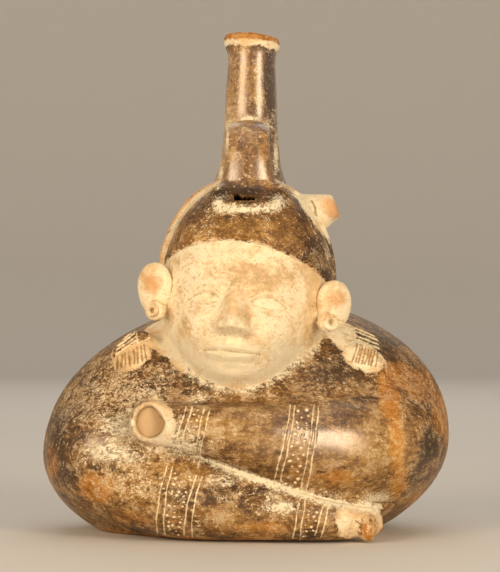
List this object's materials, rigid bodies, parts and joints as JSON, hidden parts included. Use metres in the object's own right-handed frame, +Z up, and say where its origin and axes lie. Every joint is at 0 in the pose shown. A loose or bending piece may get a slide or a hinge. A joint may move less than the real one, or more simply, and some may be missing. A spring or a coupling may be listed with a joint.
{
  "type": "anthropomorphic whistling bottle",
  "caption": "Hollow fired-clay figure bottle with crossed forearms, a capped head, a tall spout behind it and a strap handle with a whistle slit at its foot.",
  "frame": {"origin": "on the flat underside, below the middle of the body", "axes": "+Z up, the way the spout points; the face looks along -Y; +X is the viewer's right"},
  "size_m": [0.1712, 0.1284, 0.2102],
  "materials": {
    "fired_clay": "burnished dark brown slip over orange-brown clay, with cream slip on the face, ears and fringes, white-filled incised lines and worn, crusted patches"
  },
  "bodies": {
    "root": {"bottle": "fired_clay"}
  },
  "joints": []
}
